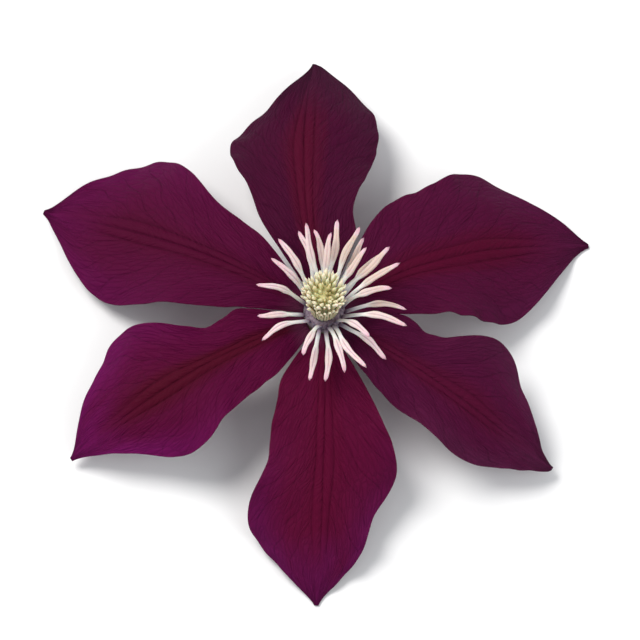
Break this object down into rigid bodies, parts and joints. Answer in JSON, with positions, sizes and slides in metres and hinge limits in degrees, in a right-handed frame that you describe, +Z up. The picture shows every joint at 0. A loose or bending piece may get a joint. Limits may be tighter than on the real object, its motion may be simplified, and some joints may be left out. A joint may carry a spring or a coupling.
{
  "type": "clematis flower",
  "caption": "Open clematis blossom as picked: pointed wine-purple tepals with ruffled margins, spidery pale stamens, a cream brush of styles and a short cut stalk, lying face up.",
  "frame": {"origin": "middle of the outline, on the surface that the flower lies on", "axes": "+Z up, out of the flower's face; +Y towards the tepal at the top of the pictured flower; +X to its right"},
  "size_m": [0.1022, 0.1076, 0.0257],
  "materials": {
    "tepal": "matte",
    "stamen": "matte",
    "pistil": "matte",
    "stem": "satin"
  },
  "bodies": {
    "root": {"tepal_top": "tepal", "tepal_upper_right": "tepal", "tepal_lower_right": "tepal", "tepal_bottom": "tepal", "tepal_lower_left": "tepal", "tepal_upper_left": "tepal", "stamens": "stamen", "pistils": "pistil", "stem": "stem"}
  },
  "joints": []
}
